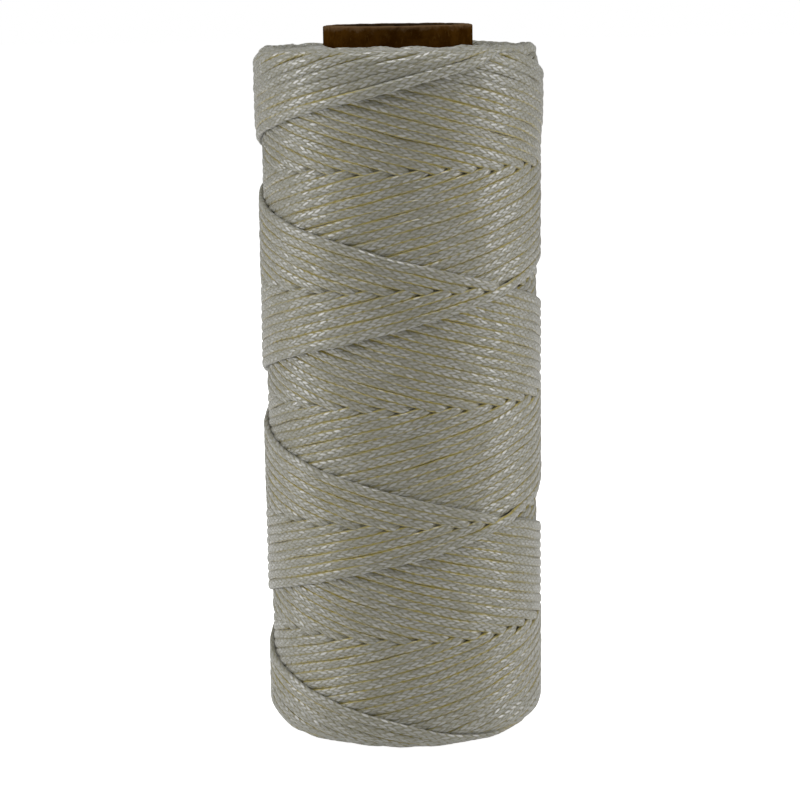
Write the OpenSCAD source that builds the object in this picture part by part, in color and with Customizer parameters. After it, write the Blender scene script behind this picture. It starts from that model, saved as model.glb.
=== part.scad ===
// Cross-wound spool of braided thread on a spiral-wound paper core.
// The core stands on z = 0 and its axis is Z. Lengths are in millimetres.

/* [Paper core] */
// Bore of the core, which slips over a spindle
core_bore = 19; // [12:0.5:21]
// Length of the core from end to end
core_length = 111; // [100:0.5:130]
// Thickness of the kraft liner that faces the bore
liner_wall = 0.4; // [0.2:0.05:0.8]
// Thickness of each of the two board plies
board_wall = 0.6; // [0.3:0.05:1]
// Thickness of the kraft wrap outside the board plies
wrap_wall = 0.4; // [0.2:0.05:0.8]

/* [Winding] */
// Diameter over the wound thread
package_diameter = 43; // [40:0.5:60]
// Bare core left below the winding
bare_foot = 1.5; // [0.4:0.1:3]
// Bare core left above the winding
bare_head = 3; // [1:0.5:10]
// Radius that rounds both ends of the buried winding
shoulder = 3.4; // [2:0.1:5]

/* [Thread] */
// Width of the thread where it lies flat on the package
thread_width = 1.4; // [0.8:0.1:2]
// Thickness of the thread where it lies flat on the package
thread_thickness = 0.8; // [0.5:0.05:1.2]
// Runs of the outer thread from end to end, down and up in turn
passes = 8; // [4:2:8]
// Turns round the package in each run, which stops a little short of the last to spread the runs
turns_per_pass = 3; // [2:1:3]
// Clear space between two runs of thread where one crosses the other
crossing_gap = 0.45; // [0.42:0.01:0.8]
// Clear space between the outer thread and the winding below it
bed_gap = 0.2; // [0.1:0.05:0.5]
// Distance from the end of the winding to the middle of the thread where it turns back
edge_margin = 1.2; // [1:0.1:2.5]
// Azimuth at which the thread's outer end reaches the top edge
finish_azimuth = -38; // [-180:1:180]

/* [Hidden] */
$fn = 96;

liner_radius = core_bore / 2 + liner_wall;
inner_board_radius = liner_radius + board_wall;
outer_board_radius = inner_board_radius + board_wall;
core_radius = outer_board_radius + wrap_wall;

winding_length = core_length - bare_foot - bare_head;
winding_half = winding_length / 2;
winding_middle = bare_foot + winding_half;

// The outer thread is one tube of 6 sides with 24 rings to a turn. Its straight stretches
// cut inside the round by chord_sag, which is added to each clear space.
sides = 6;
ring_step = 15;
chord_sag = package_diameter / 2 * (1 - cos(ring_step / 2));
level_step = thread_thickness + crossing_gap + chord_sag;
bed_radius = package_diameter / 2 - thread_thickness - level_step - bed_gap - chord_sag;

// Degrees on each side of a turn in which the thread slows down, and in which it changes level
turn_half = 30;
climb_half = 30;
end_trim = 8;
pass_angle = 360 * (turns_per_pass - 1 / passes);
path_angle = passes * pass_angle;
stroke = winding_length - 2 * edge_margin;

// One ply of the paper core, as a sleeve of its full length
module sleeve(inner_radius, outer_radius) {
    difference() {
        cylinder(h = core_length, r = outer_radius);
        translate([0, 0, -1]) cylinder(h = core_length + 2, r = inner_radius);
    }
}

module core_liner() {
    color("#6b4a2a") sleeve(core_bore / 2, liner_radius);
}

module core_inner_board() {
    color("#7d6a52") sleeve(liner_radius, inner_board_radius);
}

module core_outer_board() {
    color("#7d6a52") sleeve(inner_board_radius, outer_board_radius);
}

module core_wrap() {
    color("#5a3c20") sleeve(outer_board_radius, core_radius);
}

// Half section of the winding below the outer thread, with its two rounded shoulders
module winding_section() {
    difference() {
        union() {
            translate([0, bare_foot])
                square([bed_radius - shoulder, winding_length]);
            translate([0, bare_foot + shoulder])
                square([bed_radius, winding_length - 2 * shoulder]);
            for (end = [-1, 1])
                translate([bed_radius - shoulder, winding_middle + end * (winding_half - shoulder)])
                    circle(r = shoulder);
        }
        square([core_radius, core_length]);
    }
}

module buried_winding() {
    color("#d8d4c2") rotate_extrude() winding_section();
}

// 0 to 1 over the span -half to half, level at both ends
function eased(x, half) =
    let (t = min(1, max(0, (x + half) / (2 * half))))
    t * t * (3 - 2 * t);

// Share of a pass that the thread has travelled at angle q, slowing down to turn at both ends
function travel(q) =
    let (e = min(q, pass_angle - q), run = pass_angle - turn_half)
    let (near = e < turn_half ? e * e / (2 * turn_half) : e - turn_half / 2)
    (q < pass_angle / 2 ? near : run - near) / run;

// Even passes run down on the lower level, odd passes run up on the upper level.
function height_at(a) =
    let (p = min(passes - 1, floor(a / pass_angle)), share = travel(a - p * pass_angle))
    stroke * (p % 2 == 0 ? 0.5 - share : share - 0.5);

// Level at angle a: 0 is the lower one and 1 the upper one, with a climb or a drop at each turn
function level_at(a) =
    let (turn = round(a / pass_angle), s = eased(a - turn * pass_angle, climb_half))
    turn == 0 ? 0 : turn == passes ? 1 : turn % 2 == 0 ? 1 - s : s;

// Centre and outward direction of the thread at angle a, as [centre, outward]
function place_at(a) =
    let (
        azimuth = a - path_angle + finish_azimuth,
        above = bed_gap + chord_sag + thread_thickness / 2 + level_at(a) * level_step,
        z = height_at(a),
        past = max(0, abs(z) - (winding_half - shoulder)),
        tilt = asin(past / (shoulder + above)) * sign(z),
        r = bed_radius - shoulder + (shoulder + above) * cos(tilt),
        around = [cos(azimuth), sin(azimuth), 0]
    )
    [around * r + [0, 0, winding_middle + z], around * cos(tilt) + [0, 0, sin(tilt)]];

function unit(v) = v / norm(v);

// Flat-topped six-sided section, as [across, out] points
section = [
    for (i = [0:sides - 1])
        let (angle = 360 * i / sides)
        [thread_width / 2 * cos(angle), sin(angle) == 0 ? 0 : thread_thickness / 2 * sign(sin(angle))]
];

function heading_at(a) = unit(place_at(a + 1)[0] - place_at(a - 1)[0]);

// Ring of the section's corners at angle a, moved along the thread by a distance
function ring_at(a, moved = 0) =
    let (
        place = place_at(a),
        along = heading_at(a),
        across = unit(cross(place[1], along)),
        out = cross(along, across)
    )
    [for (s = section) place[0] + along * moved + across * s[0] + out * s[1]];

// Both ends run straight for one thread width.
first_angle = end_trim;
last_angle = path_angle - end_trim;
ring_count = floor((last_angle - first_angle) / ring_step);
function thread_rings() = concat(
    [ring_at(first_angle, -thread_width)],
    [for (i = [0:ring_count]) ring_at(first_angle + i * (last_angle - first_angle) / ring_count)],
    [ring_at(last_angle, thread_width)]
);

// Triangles of a closed tube: its sides, then a fan over each end
function tube_faces(rings) = concat(
    [
        for (i = [0:rings - 2], j = [0:sides - 1])
            let (a = i * sides + j, b = i * sides + (j + 1) % sides)
            each [[a, b, a + sides], [b, b + sides, a + sides]]
    ],
    [for (j = [1:sides - 2]) [0, j + 1, j]],
    [for (j = [1:sides - 2]) let (e = (rings - 1) * sides) [e, e + j, e + j + 1]]
);

module outer_thread() {
    rings = thread_rings();
    points = [for (ring = rings) each ring];
    color("#e6e2d2") polyhedron(points = points, faces = tube_faces(len(rings)), convexity = 12);
}

// Clear space that direction d shows between two rings of points, the second one further along it
function clear_along(d, near_ring, far_ring) = min(far_ring * d) - max(near_ring * d);

// Clear space between two rings: the larger of what the line of their centres and the radius show
function clear_between(a, b, apart) =
    let (
        radius = unit([a[0].x, a[0].y, 0]),
        outward = radius * apart < 0 ? -radius : radius
    )
    max(clear_along(unit(apart), a, b), clear_along(outward, a, b));

// Least clear space of the tube to its own other turns. The tube is cut into slices, and each
// is measured against those near its azimuth, one or more turns further on.
slices_per_step = 4;
function least_gap() =
    let (
        rings = thread_rings(),
        slices = [
            for (i = [0:len(rings) - 2], t = [0:1 / slices_per_step:0.99])
                rings[i] * (1 - t) + rings[i + 1] * t
        ],
        centres = [for (ring = slices) (ring[0] + ring[sides / 2]) / 2],
        turn = 360 / ring_step * slices_per_step,
        spread = 2 * slices_per_step,
        near = 2 * thread_width + level_step,
        last = len(slices) - 1
    )
    min([
        for (i = [0:last], j = [i + turn:turn:last + spread], k = [j - spread:min(j + spread, last)])
            let (apart = centres[k] - centres[i])
            if (norm(apart) < near) clear_between(slices[i], slices[k], apart)
    ]);

core_liner();
core_inner_board();
core_outer_board();
core_wrap();
buried_winding();
outer_thread();
echo(turns = path_angle / 360, least_gap = least_gap());  // outer_thread
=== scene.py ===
import math

import bpy
import numpy as np
from mathutils import Matrix, Vector


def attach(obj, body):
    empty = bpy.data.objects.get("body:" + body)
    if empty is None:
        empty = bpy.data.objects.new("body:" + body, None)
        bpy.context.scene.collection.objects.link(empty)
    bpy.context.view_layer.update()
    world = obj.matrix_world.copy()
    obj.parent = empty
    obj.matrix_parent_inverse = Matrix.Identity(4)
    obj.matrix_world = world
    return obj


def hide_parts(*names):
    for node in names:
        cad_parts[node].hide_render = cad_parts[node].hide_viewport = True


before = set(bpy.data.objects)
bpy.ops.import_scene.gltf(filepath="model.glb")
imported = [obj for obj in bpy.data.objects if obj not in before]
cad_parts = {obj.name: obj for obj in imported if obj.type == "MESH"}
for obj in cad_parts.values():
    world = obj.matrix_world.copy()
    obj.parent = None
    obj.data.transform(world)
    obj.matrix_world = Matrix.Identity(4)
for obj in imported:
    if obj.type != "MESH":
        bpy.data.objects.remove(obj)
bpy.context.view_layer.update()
bpy.ops.object.select_all(action="DESELECT")
mm = 0.001

# Camera and studio

cameraSettings = {
    "place": (-0.38 * mm, -393.4 * mm, 119.2 * mm),
    "lookDown": math.radians(9.632),
    "roll": math.radians(-0.737),
    "lens": 114.0,
    "sensor": 36.0,
}


def addCamera(s):
    bpy.ops.object.camera_add(location=s["place"])
    camera = bpy.context.object
    camera.name = "camera"
    tilt = Matrix.Rotation(math.pi / 2 - s["lookDown"], 4, "X")
    camera.matrix_world = Matrix.Translation(s["place"]) @ tilt @ Matrix.Rotation(s["roll"], 4, "Z")
    camera.data.lens = s["lens"]
    camera.data.sensor_width = s["sensor"]
    camera.data.clip_start = 0.01
    bpy.context.scene.camera = camera


addCamera(cameraSettings)
print("camera set")

studio = {
    "floorSize": 8.0,
    "floorColour": (0.85, 0.85, 0.845, 1),
    "floorGlow": 0.97,  # what the camera sees, so that the sweep reads as white
    "floorFill": 0.14,  # what the object gets back from it
    "backdrop": 1.0,
    "fill": 0.06,
    # name, place, size across, size up, watts
    "boxes": [
        ("box_left", (-0.60, -0.06, 0.16), 0.40, 0.7, 2.8),
        ("box_right", (0.60, -0.06, 0.16), 0.40, 0.7, 2.6),
        ("box_top", (0.0, -0.12, 0.70), 0.5, 0.5, 3.2),
    ],
    "aim": (0.0, 0.0, 0.055),
}


# One value for what the camera sees and another for the light that reaches the object
def seenOnly(tree, seen, lit):
    path = tree.nodes.new("ShaderNodeLightPath")
    share = tree.nodes.new("ShaderNodeMapRange")
    tree.links.new(path.outputs["Is Camera Ray"], share.inputs["Value"])
    share.inputs["To Min"].default_value = lit
    share.inputs["To Max"].default_value = seen
    return share.outputs["Result"]


def addStudio(s):
    bpy.ops.mesh.primitive_plane_add(size=s["floorSize"], location=(0, 0, 0))
    floor = bpy.context.object
    floor.name = "floor"
    material = bpy.data.materials.new("pale_floor")
    material.use_nodes = True
    shader = material.node_tree.nodes["Principled BSDF"]
    shader.inputs["Base Color"].default_value = s["floorColour"]
    shader.inputs["Roughness"].default_value = 0.8
    shader.inputs["Emission Color"].default_value = (1, 1, 1, 1)
    tree = material.node_tree
    glow = seenOnly(tree, s["floorGlow"], s["floorFill"])
    tree.links.new(glow, shader.inputs["Emission Strength"])
    floor.data.materials.append(material)

    world = bpy.data.worlds.new("studio")
    world.use_nodes = True
    background = world.node_tree.nodes["Background"]
    background.inputs["Color"].default_value = (1, 1, 1, 1)
    strength = seenOnly(world.node_tree, s["backdrop"], s["fill"])
    world.node_tree.links.new(strength, background.inputs["Strength"])
    bpy.context.scene.world = world

    for name, place, across, up, watts in s["boxes"]:
        bpy.ops.object.light_add(type="AREA", location=place)
        box = bpy.context.object
        box.name = name
        box.data.shape = "RECTANGLE"
        box.data.size = across
        box.data.size_y = up
        box.data.energy = watts
        aim = Vector(s["aim"]) - Vector(place)
        box.rotation_euler = aim.to_track_quat("-Z", "Y").to_euler()
    bpy.context.scene.view_settings.view_transform = "Standard"


addStudio(studio)
print("studio set")

# The winding's path. Its lengths are in millimetres and its heights start at the core's foot.
# The spool turns one way all the time, while the guide falls and climbs.

winding = {
    "lead": 35.54,  # climb in one turn
    "advance": 1.435,  # distance up the spool between neighbouring strands
    "turnsPerPass": 3,
    "lastFoot": math.radians(-45.5),  # azimuth of the last turn-back at the foot
    "middle": 54.29,  # height half way between the turn-backs
    "reachHead": 53.1,  # from the middle to the thread at its turn-back
    "reachFoot": 52.05,
    "reachSpread": 0.4,  # how far the turn-backs scatter
    "spreadAge": 50,  # turn-backs ago at which they scatter that far, and the least and most share
    "spreadRange": (0.5, 2.4),
    "turnSharpness": 6,
    "skinCycles": 26,  # falls and climbs that make up the skin
    "layer": 0.74,  # what one layer adds to the radius
    "skinRadius": 22.4,  # radius over the newest strand, half way up
    "taper": 0.003,  # growth of that radius for each millimetre up
    "bandRise": 0.35,  # extra radius of the head band
    "bandStart": 93.0,
    "bandBlend": 4.0,
    "faceHead": 108.2,  # heights of the two end faces
    "faceFoot": 1.5,
    "shoulderHead": 3.0,
    "shoulderFoot": 3.9,
    "steepest": math.radians(66),  # lean of a strand at the rim of an end face
    "shortArm": 1.5,  # a strand nearer than this to the middle of the rounding leans less
    "dropBlur": 0.65,  # length over which an old strand drops off the edge of a layer
    "slackAt": -1.0,  # where the last climb stands off the winding, as an angle before its end
    "slackSpan": 0.3,
    "slackRise": 0.45,
    "turnBackSpan": 0.8,  # angle on each side of a turn-back that the end face leaves open
    "turnBackBlend": 0.5,
    "tuckSpan": 0.7,  # angle over which the outer end sinks by tuckDepth
    "tuckDepth": 0.5,
    "endSpan": 0.5,  # angle that it then runs past its turn-back, sinking by tuckUnder
    "tuckUnder": 1.4,
    "ripple": 0.03,  # uneven height of a strand
}
thread = {
    "width": 1.58,
    "thickness": 0.98,
    "squareness": 2.4,
    "wander": 0.05,  # uneven spacing of the strands, and its share close to a turn-back
    "wanderAtTurn": 0.4,
    "turnSpan": 0.6,
    "swell": 0.03,  # uneven thickness
    "pitch": 1.5,  # one stitch of the braid, along the thread
    "columns": 8,
    "stitchRise": 0.05,
    "stitchLean": math.radians(15),
    "stitchLength": 1.5,
    "stitchWidth": 0.5,
    "roll": 0.55,  # how far the braid turns on its way, in columns
    "endLight": 0.35,
    "ringStep": 0.275,
    "hiddenStep": 8,  # rings passed over where later strands hide the thread
    "hiddenMargin": 1.2,  # strands beyond a covering edge that still count as seen
    "roundPoints": [0, 22.5, 45, 67.5, 90, 112.5, 135, 157.5, 180, 225, 270, 315],
    "hiddenRoom": 0.12,  # share of its length that a hidden stretch gets in the bake map
    "trianglesPerPiece": 112000,
    "cutReach": 400,  # rings within which a run is cut where it's hidden
}

slope = winding["lead"] / (2 * math.pi)
strandsPerLead = winding["lead"] / winding["advance"]
passAngle = 2 * math.pi * winding["turnsPerPass"] + winding["advance"] / slope / 2
sharpReach = slope * passAngle / 2
sharpFoot = winding["middle"] - sharpReach
lastAzimuth = winding["lastFoot"] + passAngle


def smoothStep(x):
    x = np.clip(x, 0, 1)
    return x * x * (3 - 2 * x)


def softNoise(x, waves, seed):
    rng = np.random.default_rng(seed)
    total = np.zeros_like(x)
    for wave in waves:
        for share in (0.8, 1.0, 1.37):
            total += np.sin(2 * math.pi * x / (wave * share) + rng.uniform(0, 2 * math.pi))
    return total / math.sqrt(1.5 * len(waves))


def scatter(index):
    return (index * 0.618034) % 1.0


# Heights and ages of the thread at angles a before its outer end, which is at a = 0
def threadRoute(a):
    back = np.maximum(-a, 0)
    passIndex = np.floor(back / passAngle).astype(int)
    fromLater = np.where(a > 0, a, back - passIndex * passAngle)
    nearLater = fromLater < passAngle / 2
    turnBack = np.where(nearLater, passIndex, passIndex + 1)
    toTurn = np.where(nearLater, fromLater, passAngle - fromLater)
    atHead = turnBack % 2 == 0
    depthShare = np.clip(turnBack / winding["spreadAge"], *winding["spreadRange"])
    reach = np.where(atHead, winding["reachHead"], winding["reachFoot"])
    reach = reach - winding["reachSpread"] * depthShare * scatter(turnBack)
    turnWidth = 2 * (sharpReach - reach) / slope
    rounded = reach - slope * toTurn**2 / (2 * turnWidth)
    offset = np.where(toTurn < turnWidth, rounded, sharpReach - slope * toTurn)
    z = winding["middle"] + np.where(atHead, offset, -offset)
    turning = np.where(nearLater, fromLater, fromLater - passAngle) * np.where(a > 0, -1, 1)
    share = 0.5 + 0.5 * np.where(atHead, 1, -1) * np.tanh(winding["turnSharpness"] * turning)
    nearEnd = 1 - smoothStep((toTurn - winding["turnBackSpan"]) / winding["turnBackBlend"])
    newest = passIndex < 2
    openUp = np.maximum(atHead * nearEnd, newest * (1 - share))
    openDown = np.maximum(~atHead * nearEnd, newest * share)
    return {
        "openness": np.stack([openUp, openDown, nearEnd], 1),
        "azimuth": lastAzimuth + a,
        "z": z,
        "cycle": passIndex // 2,
        "climbing": passIndex % 2 == 0,
        "toTurn": toTurn,
    }


# How many cycles ago the newest fall and the newest climb passed over a place
def agesAt(azimuth, z):
    climb = sharpFoot + slope * (azimuth - winding["lastFoot"])
    fall = sharpFoot - slope * (azimuth - winding["lastFoot"])
    half = 0.5 / strandsPerLead
    climbAge = (((z - climb) / winding["lead"] + half) % 1.0 - half) * strandsPerLead
    fallAge = (((fall - z) / winding["lead"] + half) % 1.0 - half) * strandsPerLead
    return climbAge, fallAge


# Height of a strand's top against the newest strand's, before the drops are eased
def pileHeight(route, climbAge, fallAge):
    k = route["cycle"]
    under = (k - 0.5) + (fallAge - (k - 0.5)) % strandsPerLead
    climbing = -k - under - 0.5
    under = (k + 0.5) + (climbAge - (k + 0.5)) % strandsPerLead
    falling = -k - 0.5 - under
    return np.where(route["climbing"], climbing, falling) * winding["layer"] / strandsPerLead


def easeDrops(height, step):
    reach = int(3 * winding["dropBlur"] / step)
    x = np.arange(-reach, reach + 1) * step
    kernel = np.exp(-0.5 * (x / winding["dropBlur"]) ** 2)
    kernel /= kernel.sum()
    padded = np.pad(height, reach, mode="edge")
    return np.convolve(padded, kernel, mode="valid")


# The last climb is taut, so it bridges from each edge that it crosses to the layer below
def bridgeDrops(height, step):
    span = math.sqrt(2 * winding["skinRadius"] * winding["layer"])
    count = int(span / step)
    fall = winding["layer"] * (1 - (1 - np.arange(count) / count) ** 2)
    bridged = height.copy()
    for i in np.nonzero(np.diff(height) < -0.5 * winding["layer"])[0]:
        stretch = slice(i, min(i + count, len(height)))
        line = height[i] - fall[: stretch.stop - i]
        bridged[stretch] = np.maximum(bridged[stretch], line)
    return bridged


def skinRadiusAt(z):
    band = smoothStep((z - winding["bandStart"]) / winding["bandBlend"])
    return winding["skinRadius"] + winding["taper"] * (z - winding["middle"]) + winding["bandRise"] * band


# Middle of the thread and the way it faces, as (radius, lean), over the body and the shoulders
def overShoulders(z, centre):
    radius = centre.copy()
    lean = np.zeros_like(z)
    ends = [
        (winding["faceHead"] - winding["shoulderHead"], winding["shoulderHead"], 1),
        (winding["faceFoot"] + winding["shoulderFoot"], winding["shoulderFoot"], -1),
    ]
    for start, size, way in ends:
        pivot = skinRadiusAt(start) - size
        past = np.maximum((z - start) * way, 0)
        arm = np.maximum(centre - pivot, 0.01)
        steepest = winding["steepest"] * smoothStep(arm / winding["shortArm"])
        tilt = np.minimum(np.arcsin(np.clip(past / arm, 0, 1)), steepest)
        bent = (past > 0) & (centre > pivot)
        radius = np.where(bent, pivot + arm * np.cos(tilt), radius)
        lean = np.where(bent, way * tilt, lean)
    return radius, lean


def threadCentre(a, step, bridge=False):
    route = threadRoute(a)
    climbAge, fallAge = agesAt(route["azimuth"], route["z"])
    raw = pileHeight(route, climbAge, fallAge)
    height = easeDrops(raw, step)
    if bridge:
        last = a > -passAngle
        height = np.where(last, np.maximum(height, bridgeDrops(raw, step)), height)
        height += winding["slackRise"] * np.exp(-(((a - winding["slackAt"]) / winding["slackSpan"]) ** 2))
    seen = np.where(
        route["climbing"],
        fallAge > route["cycle"] - 0.5 - thread["hiddenMargin"],
        climbAge > route["cycle"] + 0.5 - thread["hiddenMargin"],
    )
    length = a * math.hypot(winding["skinRadius"], slope)
    calm = thread["wanderAtTurn"]
    calm = calm + (1 - calm) * smoothStep(route["toTurn"] / thread["turnSpan"])
    z = route["z"] + thread["wander"] * calm * softNoise(length, (11, 23, 47), 5)
    centre = skinRadiusAt(z) + height - thread["thickness"] / 2
    centre += winding["ripple"] * softNoise(length, (6, 15), 9)
    # the outer end sinks between its neighbours, then goes under them
    tuck = winding["tuckDepth"] * smoothStep((a + winding["tuckSpan"]) / winding["tuckSpan"])
    tuck += winding["tuckUnder"] * smoothStep(a / winding["endSpan"])
    radius, lean = overShoulders(z, centre - tuck)
    around = np.stack([np.cos(route["azimuth"]), np.sin(route["azimuth"]), 0 * a], 1)
    upward = np.array([0, 0, 1.0])
    middle = around * radius[:, None] + upward * z[:, None]
    outward = around * np.cos(lean)[:, None] + upward * np.sin(lean)[:, None]
    seen |= (route["toTurn"] < 0.5) | (np.abs(lean) > 0.1)
    return middle, outward, route["openness"], seen


# How far a stitch of the braid rises at u stitches along and v columns round, from 0 to 1
def stitchDome(u, v):
    column = np.floor(v)
    odd = column % 2
    across = (v - column - 0.5) * thread["stitchWidth"]
    along = u + 0.5 * odd
    along = (along - np.floor(along) - 0.5) * thread["pitch"]
    lean = thread["stitchLean"] * (1 - 2 * odd)
    x = along * np.cos(lean) + across * np.sin(lean)
    y = across * np.cos(lean) - along * np.sin(lean)
    dome = 1 - (2 * x / thread["stitchLength"]) ** 2 - (2 * y / thread["stitchWidth"]) ** 2
    return np.sqrt(np.maximum(dome, 0))


def unit(v):
    return v / np.linalg.norm(v, axis=1, keepdims=True)


# A braided tube along its middle points, closed at both ends. It carries two maps: "braid"
# counts stitches and columns, and "OFBake" lays the tube out in rows.
def sweepThread(name, middle, outward, openness, length, weight, angles, material):
    rings, points = len(middle), len(angles)
    along = unit(np.gradient(middle, axis=0))
    across = unit(np.cross(outward, along))
    out = np.cross(along, across)
    angle = np.radians(angles)
    power = thread["squareness"]
    cosine, sine = np.cos(angle), np.sin(angle)
    flat = np.abs(cosine) ** power / (thread["width"] / 2) ** power
    flat += np.abs(sine) ** power / (thread["thickness"] / 2) ** power
    reach = flat ** (-1 / power)
    roll = thread["roll"] * softNoise(length, (61, 140), 21)
    u = length / thread["pitch"]
    v = np.append(angle, 2 * math.pi) * thread["columns"] / (2 * math.pi)
    braidV = roll[:, None] + v[None, :]
    dome = stitchDome(u[:, None], braidV[:, :-1])
    swell = reach[None, :] * (1 + thread["swell"] * softNoise(length, (9, 31), 33))[:, None]
    swell = swell + thread["stitchRise"] * (dome - 0.5)
    ring = across[:, None, :] * (swell * cosine)[:, :, None] + out[:, None, :] * (swell * sine)[:, :, None]
    corners = (middle[:, None, :] + ring).reshape(-1, 3)
    corners = np.concatenate([corners, middle[[0, -1]]]) * mm

    i, j = np.meshgrid(np.arange(rings - 1), np.arange(points), indexing="ij")
    k = (j + 1) % points
    quads = np.stack([i * points + j, i * points + k, (i + 1) * points + k, (i + 1) * points + j], -1)
    j = np.arange(points)
    k = (j + 1) % points
    first = np.stack([j * 0 + rings * points, k, j], -1)
    lastRing = (rings - 1) * points
    last = np.stack([j * 0 + rings * points + 1, lastRing + j, lastRing + k], -1)
    loops = np.concatenate([quads.ravel(), first.ravel(), last.ravel()])
    sides = (rings - 1) * points
    starts = np.concatenate([np.arange(sides) * 4, sides * 4 + np.arange(2 * points) * 3])

    mesh = bpy.data.meshes.new(name)
    mesh.vertices.add(len(corners))
    mesh.vertices.foreach_set("co", corners.astype(np.float32).ravel())
    mesh.loops.add(len(loops))
    mesh.loops.foreach_set("vertex_index", loops.astype(np.int32))
    mesh.polygons.add(len(starts))
    mesh.polygons.foreach_set("loop_start", starts.astype(np.int32))
    mesh.update(calc_edges=True)

    # Mask of the painted shade in the thread's colour: 0 on the sides that face out of the winding.
    # A turn-back is also open to the end face, the newest climb downwards and the newest fall upwards.
    # Light gets in between the turn-backs, so they get less painted shade.
    openUp, openDown, nearEnd = openness.T[:, :, None]
    openTo = np.maximum(sine, np.maximum(openUp * cosine, -openDown * cosine))
    shadeMask = ((1 - openTo) / 2 * (1 - thread["endLight"] * nearEnd)).ravel()
    attribute = mesh.attributes.new("shadeMask", "FLOAT", "POINT")
    attribute.data.foreach_set("value", np.append(shadeMask, [0.5, 0.5]).astype(np.float32))

    u = u - 2 * math.floor(u[0] / 2)
    capUv = np.zeros((2 * points * 3, 2))
    capUv[:, 0] = np.repeat([u[0], u[-1]], points * 3)
    corner = np.array([[0, 0], [0, 1], [1, 1], [1, 0]])
    braid = np.zeros((rings - 1, points, 4, 2))
    for c, (di, dj) in enumerate(corner):
        braid[:, :, c, 0] = u[di : rings - 1 + di][:, None]
        braid[:, :, c, 1] = braidV[di : rings - 1 + di, dj : points + dj]
    layer = mesh.uv_layers.new(name="braid")
    layer.data.foreach_set("uv", np.concatenate([braid.reshape(-1, 2), capUv]).astype(np.float32).ravel())

    # Hidden stretches take little room in the rows
    room = np.concatenate([[0], np.cumsum(np.diff(length) * np.minimum(weight[:-1], weight[1:]))])
    outline = np.append(ring[0], ring[:1, 0], 0)
    edge = np.concatenate([[0], np.cumsum(np.linalg.norm(np.diff(outline, axis=0), axis=1))])
    girth = edge[-1] * 1.12
    rowLength = math.sqrt(room[-1] * girth) * 1.02
    row = np.zeros(rings - 1)
    start = np.zeros(rings - 1)
    number, origin = 0, 0.0
    for n in range(rings - 1):
        if room[n + 1] - origin > rowLength:
            number += 1
            origin = room[n]
        row[n] = number
        start[n] = origin
    rowCount = number + 1
    size = max(rowLength, rowCount * girth) * 1.01
    bake = np.zeros((rings - 1, points, 4, 2))
    for c, (di, dj) in enumerate(corner):
        bake[:, :, c, 0] = ((room[di : rings - 1 + di] - start) / size)[:, None] + 0.002
        bake[:, :, c, 1] = (row[:, None] * girth + edge[None, dj : points + dj] + girth * 0.04) / size
    layer = mesh.uv_layers.new(name="OFBake")
    capUv[:] = 0.998
    layer.data.foreach_set("uv", np.concatenate([bake.reshape(-1, 2), capUv]).astype(np.float32).ravel())

    mesh.polygons.foreach_set("use_smooth", np.ones(len(starts), bool))
    mesh.materials.append(material)
    mesh.validate()
    piece = bpy.data.objects.new(name, mesh)
    bpy.context.scene.collection.objects.link(piece)
    return piece


# Node helpers

def newMaterial(name):
    material = bpy.data.materials.new(name)
    material.use_nodes = True
    return material, material.node_tree, material.node_tree.nodes["Principled BSDF"]


def joined(tree, kind, *values, **settings):
    item = tree.nodes.new(kind)
    for key, value in settings.items():
        setattr(item, key, value)
    for socket, value in zip(item.inputs, values):
        if isinstance(value, bpy.types.NodeSocket):
            tree.links.new(value, socket)
        else:
            socket.default_value = value
    return item


def calc(tree, operation, *values):
    return joined(tree, "ShaderNodeMath", *values, operation=operation).outputs[0]


def ranged(tree, value, low, high, toLow=0.0, toHigh=1.0):
    item = tree.nodes.new("ShaderNodeMapRange")
    item.interpolation_type = "SMOOTHSTEP"
    tree.links.new(value, item.inputs["Value"])
    item.inputs["From Min"].default_value = low
    item.inputs["From Max"].default_value = high
    item.inputs["To Min"].default_value = toLow
    item.inputs["To Max"].default_value = toHigh
    return item.outputs["Result"]


def mixed(tree, factor, a, b, blend="MIX"):
    item = tree.nodes.new("ShaderNodeMix")
    item.data_type = "RGBA"
    item.blend_type = blend
    for socket, value in ((item.inputs["Factor"], factor), (item.inputs[6], a), (item.inputs[7], b)):
        if isinstance(value, bpy.types.NodeSocket):
            tree.links.new(value, socket)
        else:
            socket.default_value = value
    return item.outputs[2]


def noise(tree, vector, scale, detail=3.0, roughness=0.55):
    item = tree.nodes.new("ShaderNodeTexNoise")
    tree.links.new(vector, item.inputs["Vector"])
    item.inputs["Scale"].default_value = scale
    item.inputs["Detail"].default_value = detail
    item.inputs["Roughness"].default_value = roughness
    return item.outputs["Fac"]


def newGroup(name, inputs, outputs):
    tree = bpy.data.node_groups.new(name, "ShaderNodeTree")
    for label, kind, value in inputs:
        socket = tree.interface.new_socket(label, in_out="INPUT", socket_type=kind)
        if value is not None:
            socket.default_value = value
    for label, kind in outputs:
        tree.interface.new_socket(label, in_out="OUTPUT", socket_type=kind)
    return tree, tree.nodes.new("NodeGroupInput"), tree.nodes.new("NodeGroupOutput")


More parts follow.
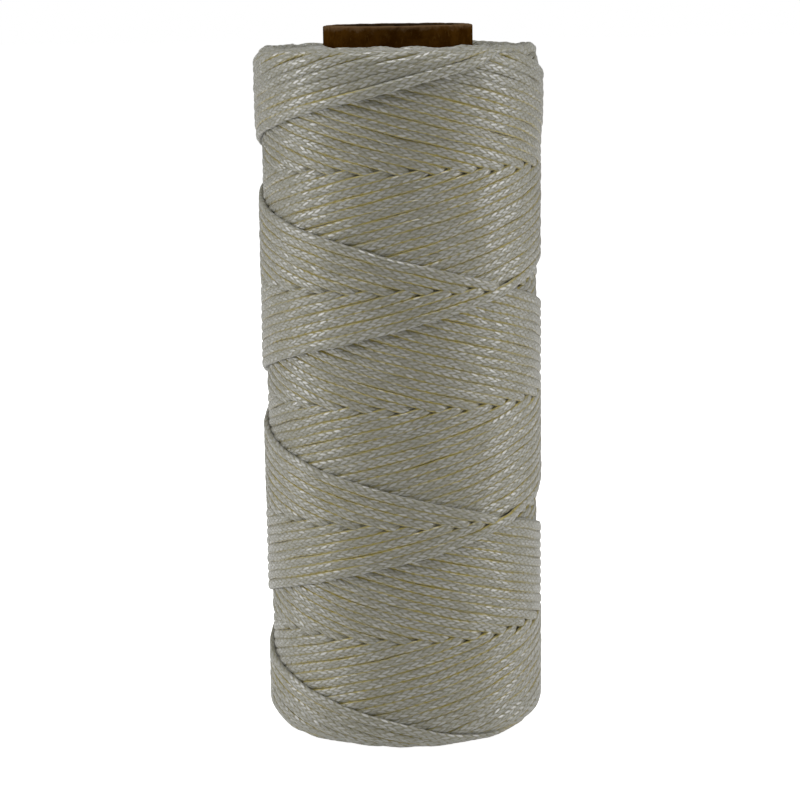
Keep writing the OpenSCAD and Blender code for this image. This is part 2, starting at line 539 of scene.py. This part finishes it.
# The braid: slanted stitches in columns whose lean alternates, each with fine filaments
def braidGroup():
    inputs = [
        ("Stitches", "NodeSocketVector", None),
        ("Lean", "NodeSocketFloat", thread["stitchLean"]),
        ("Pitch", "NodeSocketFloat", thread["pitch"]),
        ("Stitch Length", "NodeSocketFloat", thread["stitchLength"]),
        ("Stitch Width", "NodeSocketFloat", thread["stitchWidth"]),
        ("Filaments", "NodeSocketFloat", 7.0),
    ]
    outputs = [
        ("Dome", "NodeSocketFloat"),
        ("Filament", "NodeSocketFloat"),
        ("Stitch Shade", "NodeSocketFloat"),
    ]
    tree, given, result = newGroup("braid stitches", inputs, outputs)
    split = joined(tree, "ShaderNodeSeparateXYZ", given.outputs["Stitches"])
    u, v = split.outputs[0], split.outputs[1]
    column = calc(tree, "FLOOR", v)
    odd = calc(tree, "FLOORED_MODULO", column, 2.0)
    across = calc(tree, "SUBTRACT", calc(tree, "SUBTRACT", v, column), 0.5)
    across = calc(tree, "MULTIPLY", across, given.outputs["Stitch Width"])
    along = calc(tree, "MULTIPLY_ADD", odd, 0.5, u)
    stitch = calc(tree, "FLOOR", along)
    along = calc(tree, "SUBTRACT", calc(tree, "SUBTRACT", along, stitch), 0.5)
    along = calc(tree, "MULTIPLY", along, given.outputs["Pitch"])
    side = calc(tree, "MULTIPLY_ADD", odd, -2.0, 1.0)
    lean = calc(tree, "MULTIPLY", side, given.outputs["Lean"])
    cosine, sine = calc(tree, "COSINE", lean), calc(tree, "SINE", lean)
    x = calc(tree, "MULTIPLY_ADD", across, sine, calc(tree, "MULTIPLY", along, cosine))
    y = calc(tree, "SUBTRACT", calc(tree, "MULTIPLY", across, cosine), calc(tree, "MULTIPLY", along, sine))
    sx = calc(tree, "DIVIDE", calc(tree, "MULTIPLY", x, 2.0), given.outputs["Stitch Length"])
    sy = calc(tree, "DIVIDE", calc(tree, "MULTIPLY", y, 2.0), given.outputs["Stitch Width"])
    dome = calc(tree, "SUBTRACT", 1.0, calc(tree, "MULTIPLY", sx, sx))
    dome = calc(tree, "SUBTRACT", dome, calc(tree, "MULTIPLY", sy, sy))
    dome = calc(tree, "SQRT", calc(tree, "MAXIMUM", dome, 0.0))
    tree.links.new(dome, result.inputs["Dome"])
    turns = calc(tree, "MULTIPLY", sy, given.outputs["Filaments"])
    ripple = calc(tree, "SINE", calc(tree, "MULTIPLY", turns, math.pi))
    tree.links.new(calc(tree, "MULTIPLY", ripple, dome), result.inputs["Filament"])
    spot = joined(tree, "ShaderNodeCombineXYZ", stitch, column)
    white = joined(tree, "ShaderNodeTexWhiteNoise", spot.outputs[0], noise_dimensions="2D")
    tree.links.new(white.outputs["Value"], result.inputs["Stitch Shade"])
    return tree


threadLook = {
    "crown": (0.278, 0.270, 0.213, 1),
    # painted glint on the stitch tops
    "paintedGlint": (0.405, 0.400, 0.367, 1),
    # painted shade in the hollows between stitches
    "between": (0.231, 0.218, 0.147, 1),
    # painted shade, warm ochre, in the grooves between strands
    "paintedGrooveShade": (0.44, 0.35, 0.05, 1),
    # painted shade, duller, further round on the inner sides of a strand
    "under": (0.46, 0.375, 0.10, 1),
    # reach of the two painted shades round a strand, from 0 on its outer side to 1 on its inner side
    "grooveShadeFrom": (0.15, 0.34),
    "underShadeFrom": (0.37, 0.47),
    "grooveShadeLeast": 0.6,  # share of the painted shade where it's patchy, and at the winding's outline
    "grooveShadeAtRim": 0.15,
    "roughness": 0.45,
    "roughnessSpread": 0.1,
    "glintRoughness": 0.27,
    "glintIor": 2.0,
    "sheen": 0.5,
    "bump": 0.00008,
}


def threadMaterial(s, braid):
    material, tree, shader = newMaterial("braided_thread")
    uv = tree.nodes.new("ShaderNodeUVMap")
    uv.uv_map = "braid"
    stitches = joined(tree, "ShaderNodeGroup", uv.outputs["UV"], node_tree=braid)
    dome, shade = stitches.outputs["Dome"], stitches.outputs["Stitch Shade"]
    place = tree.nodes.new("ShaderNodeTexCoord").outputs["Object"]
    # mask of the painted shade round each strand
    shadeMask = tree.nodes.new("ShaderNodeAttribute")
    shadeMask.attribute_name = "shadeMask"
    patches = noise(tree, place, 90.0, 3.0)
    gaps = noise(tree, place, 130.0, 2.0)
    # Painted shade in the hollows between stitches, then a painted glint on the stitch tops, which also
    # carry the glossy coat
    body = mixed(tree, ranged(tree, dome, 0.05, 0.7), s["between"], s["crown"])
    lit = calc(tree, "MULTIPLY", ranged(tree, dome, 0.3, 0.85), ranged(tree, shade, 0.1, 1.0, 0.25, 1.0))
    body = mixed(tree, lit, body, s["paintedGlint"])
    tone = mixed(tree, ranged(tree, patches, 0.3, 0.7), (0.92, 0.92, 0.90, 1), (1.0, 1.0, 1.0, 1))
    body = mixed(tree, 1.0, body, tone, "MULTIPLY")
    # Painted shade, warm ochre, in the grooves between strands and on their inner sides, patchy and weaker
    # towards the outline
    grooveShade = ranged(tree, shadeMask.outputs["Fac"], *s["grooveShadeFrom"])
    grooveShade = calc(tree, "MULTIPLY", grooveShade, ranged(tree, gaps, 0.32, 0.62, s["grooveShadeLeast"], 1.0))
    slant = joined(tree, "ShaderNodeLayerWeight", 0.5).outputs["Facing"]
    grooveShade = calc(tree, "MULTIPLY", grooveShade, ranged(tree, slant, 0.45, 0.9, 1.0, s["grooveShadeAtRim"]))
    low = mixed(tree, ranged(tree, shadeMask.outputs["Fac"], *s["underShadeFrom"]), s["paintedGrooveShade"], s["under"])
    colour = mixed(tree, grooveShade, body, low)
    tree.links.new(colour, shader.inputs["Base Color"])
    spread = s["roughnessSpread"]
    rough = ranged(tree, shade, 0.0, 1.0, s["roughness"] - spread, s["roughness"] + spread)
    tree.links.new(rough, shader.inputs["Roughness"])
    shader.inputs["Sheen Weight"].default_value = s["sheen"]
    shader.inputs["Sheen Roughness"].default_value = 0.4
    shader.inputs["Specular IOR Level"].default_value = 0.5
    tree.links.new(lit, shader.inputs["Coat Weight"])
    shader.inputs["Coat Roughness"].default_value = s["glintRoughness"]
    shader.inputs["Coat IOR"].default_value = s["glintIor"]
    bump = tree.nodes.new("ShaderNodeBump")
    bump.inputs["Strength"].default_value = 1.0
    bump.inputs["Distance"].default_value = s["bump"]
    height = calc(tree, "MULTIPLY_ADD", stitches.outputs["Filament"], 0.12, dome)
    tree.links.new(height, bump.inputs["Height"])
    tree.links.new(bump.outputs["Normal"], shader.inputs["Normal"])
    return material


braid = braidGroup()
threadFinish = threadMaterial(threadLook, braid)


def claim(piece, slot, *nodes):
    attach(piece, "root")
    if nodes:
        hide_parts(*nodes)


# The skin of the winding: the last cycles of the thread, cut into runs of like size
def windSkin():
    turnLength = math.hypot(winding["skinRadius"], slope)
    step = thread["ringStep"] / turnLength
    a = np.arange(-2 * winding["skinCycles"] * passAngle, winding["endSpan"], step)
    middle, outward, openness, seen = threadCentre(a, thread["ringStep"], bridge=True)
    length = np.concatenate([[0], np.cumsum(np.linalg.norm(np.diff(middle, axis=0), axis=1))])
    kept = seen.copy()
    kept[:-1] |= seen[1:]
    kept[1:] |= seen[:-1]
    kept[:: thread["hiddenStep"]] = True
    kept[[0, -1]] = True
    index = np.nonzero(kept)[0]
    perRing = 2 * len(thread["roundPoints"])
    pieces = math.ceil(len(index) * perRing / thread["trianglesPerPiece"])
    cuts = np.linspace(0, len(index) - 1, pieces + 1).astype(int)
    hidden = ~seen[index]
    for n in range(1, pieces):
        near = np.arange(cuts[n] - thread["cutReach"], cuts[n] + thread["cutReach"])
        free = near[hidden[near]]
        if len(free):
            cuts[n] = free[np.argmin(np.abs(free - cuts[n]))]
    for n in range(pieces):
        part = index[cuts[n] : cuts[n + 1] + 1]
        weight = np.where(seen[part], 1.0, thread["hiddenRoom"])
        run = sweepThread(
            f"thread_run_{n + 1:02d}", middle[part], outward[part], openness[part],
            length[part], weight, thread["roundPoints"], threadFinish,
        )
        claim(run, "braided_thread", "outer_thread")
    total = len(index) * perRing
    print(f"skin wound: {length[-1] / 1000:.1f} m of thread in {pieces} runs, {total} triangles")


windSkin()

# The turn-backs of the cycles under the skin, which make the two end faces
endFaces = {
    "cycles": 167,
    "window": 0.85,  # angle on each side of a turn-back
    "ringStep": 0.5,
    "roundPoints": [0, 30, 60, 90, 120, 150, 180, 225, 270, 315],
    "piecesPerEnd": 2,
}


def windEnds(s):
    turnLength = math.hypot(winding["skinRadius"], slope)
    step = s["ringStep"] / turnLength
    window = np.arange(-s["window"], s["window"] + step, step)
    total = 0
    for end, label in enumerate(["head", "foot"]):
        turns = np.arange(2 * winding["skinCycles"] + end, 2 * s["cycles"], 2)
        for n, share in enumerate(np.array_split(turns, s["piecesPerEnd"])):
            runs = []
            for turn in share:
                a = window - turn * passAngle
                middle, outward, openness, _ = threadCentre(a, s["ringStep"])
                length = a * turnLength
                runs.append((middle, outward, openness, length))
            name = f"thread_ends_{label}_{n + 1}"
            loops = []
            for run in runs:
                loops.append(sweepThread(name, *run, np.ones(len(run[0])), s["roundPoints"], threadFinish))
            bpy.ops.object.select_all(action="DESELECT")
            for loop in loops:
                loop.select_set(True)
            bpy.context.view_layer.objects.active = loops[0]
            bpy.ops.object.join()
            piece = loops[0]
            piece.name = name
            spreadRows(piece, len(runs))
            claim(piece, "braided_thread", "buried_winding")
            total += len(runs)
    print(f"end faces wound: {total} turn-backs")


# Joined tubes each fill the whole bake map, so each is moved to its own cell of a grid
def spreadRows(piece, tubes):
    mesh = piece.data
    layer = mesh.uv_layers["OFBake"]
    uv = np.zeros(len(mesh.loops) * 2, np.float32)
    layer.data.foreach_get("uv", uv)
    uv = uv.reshape(tubes, -1, 2)
    grid = math.ceil(math.sqrt(tubes))
    cell = np.arange(tubes)
    uv[:, :, 0] = (uv[:, :, 0] + (cell % grid)[:, None]) / grid
    uv[:, :, 1] = (uv[:, :, 1] + (cell // grid)[:, None]) / grid
    layer.data.foreach_set("uv", uv.ravel())


windEnds(endFaces)

# The dark depth of the winding, seen only between strands, coloured with painted shade of the buried
# thread
depth = {
    "radius": 19.6,
    "head": 106.4,
    "foot": 3.0,
    "rim": 3.4,
    "bore": 11.45,
    # painted shade of the buried thread, warm ochre
    "colour": (0.55, 0.44, 0.11, 1),
    "atCore": (0.19, 0.18, 0.135, 1),  # its painted shade colour inside the two radii of coreBlend
    "coreBlend": (17.8 * mm, 19.3 * mm),
    # painted shadow in patches, darkening by this share
    "shadeShare": 0.55,
}


# A ring drawn out step by step along (radius, height) points, and closed on itself
def turnProfile(name, points, sides):
    bpy.ops.object.select_all(action="DESELECT")
    radius, height = points[0]
    bpy.ops.mesh.primitive_circle_add(
        vertices=sides, radius=radius * mm, fill_type="NOTHING", location=(0, 0, height * mm)
    )
    body = bpy.context.object
    body.name = name
    bpy.ops.object.transform_apply(location=True, rotation=True, scale=True)
    bpy.ops.object.mode_set(mode="EDIT")
    bpy.ops.mesh.select_mode(type="EDGE")
    bpy.ops.mesh.select_all(action="SELECT")
    for nextRadius, nextHeight in points[1:]:
        rise = (nextHeight - height) * mm
        bpy.ops.mesh.extrude_region_move(TRANSFORM_OT_translate={"value": (0, 0, rise)})
        share = nextRadius / radius
        bpy.ops.transform.resize(value=(share, share, 1), center_override=(0, 0, nextHeight * mm))
        radius, height = nextRadius, nextHeight
    bpy.ops.mesh.select_all(action="DESELECT")
    bpy.ops.mesh.select_non_manifold()
    bpy.ops.mesh.bridge_edge_loops()
    bpy.ops.mesh.select_all(action="SELECT")
    bpy.ops.mesh.normals_make_consistent(inside=False)
    bpy.ops.object.mode_set(mode="OBJECT")
    bpy.ops.object.shade_smooth_by_angle(angle=math.radians(40))
    return body


def windingDepth(s):
    pivot = s["radius"] - s["rim"]
    quarter = [math.radians(angle) for angle in range(0, 91, 15)]
    points = [(s["bore"], s["foot"])]
    points += [
        (pivot + s["rim"] * math.sin(t), s["foot"] + s["rim"] * (1 - math.cos(t))) for t in quarter
    ]
    points += [
        (pivot + s["rim"] * math.cos(t), s["head"] - s["rim"] * (1 - math.sin(t))) for t in quarter
    ]
    points.append((s["bore"], s["head"]))
    body = turnProfile("winding_depth", points, 128)
    material, tree, shader = newMaterial("thread_in_shadow")
    place = tree.nodes.new("ShaderNodeTexCoord").outputs["Object"]
    # Painted shade of the buried thread: ochre, grey near the core, darker in patches
    patches = ranged(tree, noise(tree, place, 700.0, 4.0), 0.3, 0.7)
    x, y, _ = joined(tree, "ShaderNodeSeparateXYZ", place).outputs
    square = calc(tree, "MULTIPLY_ADD", x, x, calc(tree, "MULTIPLY", y, y))
    radius = calc(tree, "SQRT", square)
    colour = mixed(tree, ranged(tree, radius, *s["coreBlend"]), s["atCore"], s["colour"])
    shade = (s["shadeShare"],) * 3 + (1,)
    tone = mixed(tree, patches, shade, (1, 1, 1, 1))
    tree.links.new(mixed(tree, 1.0, colour, tone, "MULTIPLY"), shader.inputs["Base Color"])
    shader.inputs["Roughness"].default_value = 0.9
    body.data.materials.clear()
    body.data.materials.append(material)
    claim(body, "braided_thread", "buried_winding")
    print("depth of the winding made")


windingDepth(depth)

# The paper core, a sleeve for each ply
core = {
    "length": 111.0,
    "lift": 0.04,  # keeps the frayed foot off the floor
    # node, slot, inner and outer radius, how far its ends stop short, size of its rounded rim
    "plies": [
        ("core_liner", "kraft_liner", 9.5, 9.9, 0.10, 0.14),
        ("core_inner_board", "core_board", 9.9, 10.5, 0.08, 0.12),
        ("core_outer_board", "core_board", 10.5, 11.1, 0.09, 0.14),
        ("core_wrap", "kraft_wrap", 11.1, 11.5, 0.16, 0.24),
    ],
    "sides": 192,
    "rimDepth": 1.2,
    "fuzz": 0.16,
    "fuzzScale": 0.0016,
}
paperLook = {
    "dark": (0.036, 0.013, 0.0010, 1),
    "mid": (0.064, 0.026, 0.0032, 1),
    "fibre": (0.10, 0.052, 0.013, 1),
    "worn": (0.12, 0.072, 0.036, 1),
}


def paperGroup():
    inputs = [
        ("Place", "NodeSocketVector", None),
        ("Dark", "NodeSocketColor", paperLook["dark"]),
        ("Mid", "NodeSocketColor", paperLook["mid"]),
        ("Fibre", "NodeSocketColor", paperLook["fibre"]),
        ("Worn", "NodeSocketColor", paperLook["worn"]),
        ("Head", "NodeSocketFloat", core["length"] * mm),
        ("Wear", "NodeSocketFloat", 1.0 * mm),
    ]
    tree, given, result = newGroup(
        "kraft paper", inputs, [("Colour", "NodeSocketColor"), ("Height", "NodeSocketFloat")]
    )
    place = given.outputs["Place"]
    stretch = joined(tree, "ShaderNodeMapping", place)
    stretch.inputs["Scale"].default_value = (1, 1, 0.35)
    pulp = noise(tree, place, 420.0, 5.0, 0.65)
    fibres = noise(tree, stretch.outputs[0], 2600.0, 3.0, 0.6)
    colour = mixed(tree, ranged(tree, pulp, 0.35, 0.68), given.outputs["Dark"], given.outputs["Mid"])
    colour = mixed(tree, ranged(tree, fibres, 0.56, 0.74, 0.0, 0.5), colour, given.outputs["Fibre"])
    z = joined(tree, "ShaderNodeSeparateXYZ", place).outputs[2]
    fromHead = calc(tree, "SUBTRACT", given.outputs["Head"], z)
    toRim = calc(tree, "MINIMUM", fromHead, z)
    ragged = calc(tree, "MULTIPLY", calc(tree, "SUBTRACT", noise(tree, place, 900.0, 4.0), 0.5), 0.0022)
    toRim = calc(tree, "ADD", toRim, ragged)
    share = calc(tree, "DIVIDE", toRim, given.outputs["Wear"])
    wear = ranged(tree, share, 0.0, 1.0, 0.85, 0.0)
    colour = mixed(tree, wear, colour, given.outputs["Worn"])
    tree.links.new(colour, result.inputs["Colour"])
    height = calc(tree, "MULTIPLY_ADD", fibres, 0.6, pulp)
    tree.links.new(height, result.inputs["Height"])
    return tree


def paperMaterial(name, group, tints):
    material, tree, shader = newMaterial(name)
    place = tree.nodes.new("ShaderNodeTexCoord").outputs["Object"]
    paper = joined(tree, "ShaderNodeGroup", place, node_tree=group)
    for label, value in tints.items():
        paper.inputs[label].default_value = value
    tree.links.new(paper.outputs["Colour"], shader.inputs["Base Color"])
    shader.inputs["Roughness"].default_value = 0.88
    shader.inputs["Specular IOR Level"].default_value = 0.0
    bump = tree.nodes.new("ShaderNodeBump")
    bump.inputs["Distance"].default_value = 0.06 * mm
    bump.inputs["Strength"].default_value = 0.8
    tree.links.new(paper.outputs["Height"], bump.inputs["Height"])
    tree.links.new(bump.outputs["Normal"], shader.inputs["Normal"])
    return material


def rollPly(s, node, slot, inner, outer, short, rim, material):
    length = (s["length"] - 2 * short) * mm
    bpy.ops.object.select_all(action="DESELECT")
    bpy.ops.mesh.primitive_cylinder_add(
        vertices=s["sides"], radius=outer * mm, depth=length, end_fill_type="NOTHING",
        location=(0, 0, (s["length"] / 2 + s["lift"]) * mm),
    )
    ply = bpy.context.object
    ply.name = node + "_paper"
    bpy.ops.object.transform_apply(location=True, rotation=True, scale=True)
    bpy.ops.object.mode_set(mode="EDIT")
    near = [0.5 * s["rimDepth"], s["rimDepth"]]
    for level in near + [s["length"] - level for level in reversed(near)]:
        bpy.ops.mesh.select_all(action="SELECT")
        bpy.ops.mesh.bisect(plane_co=(0, 0, level * mm), plane_no=(0, 0, 1))
    bpy.ops.object.mode_set(mode="OBJECT")
    rims = ply.vertex_groups.new(name="rims")
    for vertex in ply.data.vertices:
        toRim = min(vertex.co.z, s["length"] * mm - vertex.co.z)
        if toRim < 0.4 * s["rimDepth"] * mm:
            rims.add([vertex.index], 1.0, "REPLACE")
    solid = ply.modifiers.new("wall", "SOLIDIFY")
    solid.thickness = (outer - inner) * mm
    solid.offset = -1
    solid.use_even_offset = True
    bevel = ply.modifiers.new("rim", "BEVEL")
    bevel.width = rim * mm
    bevel.segments = 3
    bevel.limit_method = "ANGLE"
    bevel.angle_limit = math.radians(40)
    cloud = bpy.data.textures.new(node + "_fuzz", "CLOUDS")
    cloud.noise_scale = s["fuzzScale"]
    fuzz = ply.modifiers.new("fuzz", "DISPLACE")
    fuzz.texture = cloud
    fuzz.texture_coords = "LOCAL"
    fuzz.direction = "Z"
    fuzz.strength = s["fuzz"] * mm
    fuzz.mid_level = 0.5
    fuzz.vertex_group = "rims"
    for name in ("wall", "rim", "fuzz"):
        bpy.ops.object.modifier_apply(modifier=name)
    bpy.ops.object.shade_smooth_by_angle(angle=math.radians(50))
    ply.data.materials.clear()
    ply.data.materials.append(material)
    claim(ply, slot, node)


def rollCore(s):
    group = paperGroup()
    board = {"Dark": (0.055, 0.034, 0.019, 1), "Mid": (0.10, 0.066, 0.040, 1)}
    liner = {
        "Dark": (0.008, 0.0035, 0.0008, 1),
        "Mid": (0.018, 0.008, 0.002, 1),
        "Fibre": (0.03, 0.015, 0.005, 1),
        "Worn": (0.05, 0.03, 0.016, 1),
    }
    finishes = {
        "kraft_liner": paperMaterial("kraft_liner_paper", group, liner),
        "core_board": paperMaterial("grey_core_board", group, board),
        "kraft_wrap": paperMaterial("kraft_wrap_paper", group, {}),
    }
    for node, slot, inner, outer, short, rim in s["plies"]:
        rollPly(s, node, slot, inner, outer, short, rim, finishes[slot])
    print("core rolled")


rollCore(core)
